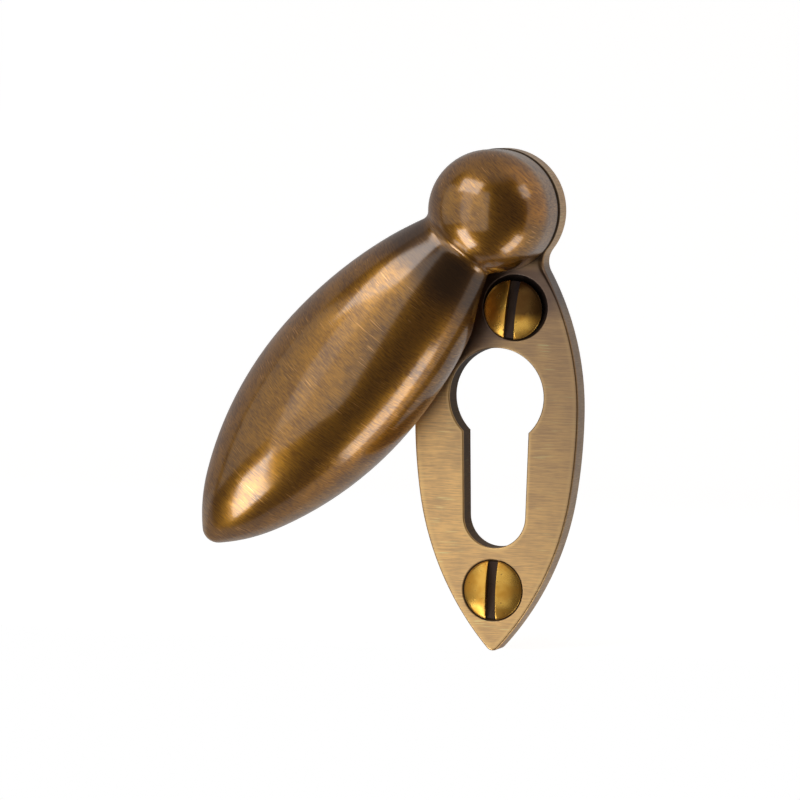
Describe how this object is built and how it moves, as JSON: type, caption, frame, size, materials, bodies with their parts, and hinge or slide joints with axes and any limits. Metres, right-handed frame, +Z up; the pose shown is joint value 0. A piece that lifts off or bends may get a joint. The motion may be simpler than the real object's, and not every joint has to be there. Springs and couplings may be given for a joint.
{
  "type": "covered keyhole escutcheon",
  "caption": "Keyhole escutcheon for a profile cylinder: a pointed-oval brass back plate with raised-head screws, and a hollow teardrop cover that swings on a ball-shaped pivot.",
  "frame": {"origin": "on the axis of the round part of the keyhole, in the plane of the back of the plate, which lies on the door", "axes": "+Z up along the plate's long axis towards the pivot, -Y out of the front of the plate, +X to the right as seen from the front"},
  "size_m": [0.0683, 0.0456, 0.0902],
  "materials": {
    "plate_brass": "antique brass, brushed across, with a brown patina",
    "cover_brass": "antique brass, brushed round its axis, satin, with a dark brown patina",
    "screw_brass": "polished brass heads with small pits and dark slots",
    "pivot_steel": "zinc plated",
    "spring_steel": "plain spring steel"
  },
  "bodies": {
    "plate": {"back_plate": "plate_brass", "spring_washer": "spring_steel", "upper_screw": "screw_brass", "lower_screw": "screw_brass"},
    "cover": {"cover": "cover_brass", "pivot_screw": "pivot_steel"}
  },
  "joints": [
    {"name": "cover_pivot", "type": "hinge", "parent": "plate", "child": "cover", "pos_m": [0, -0.0025, 0.03335], "axis": [0, -1, 0], "continuous": true}
  ]
}
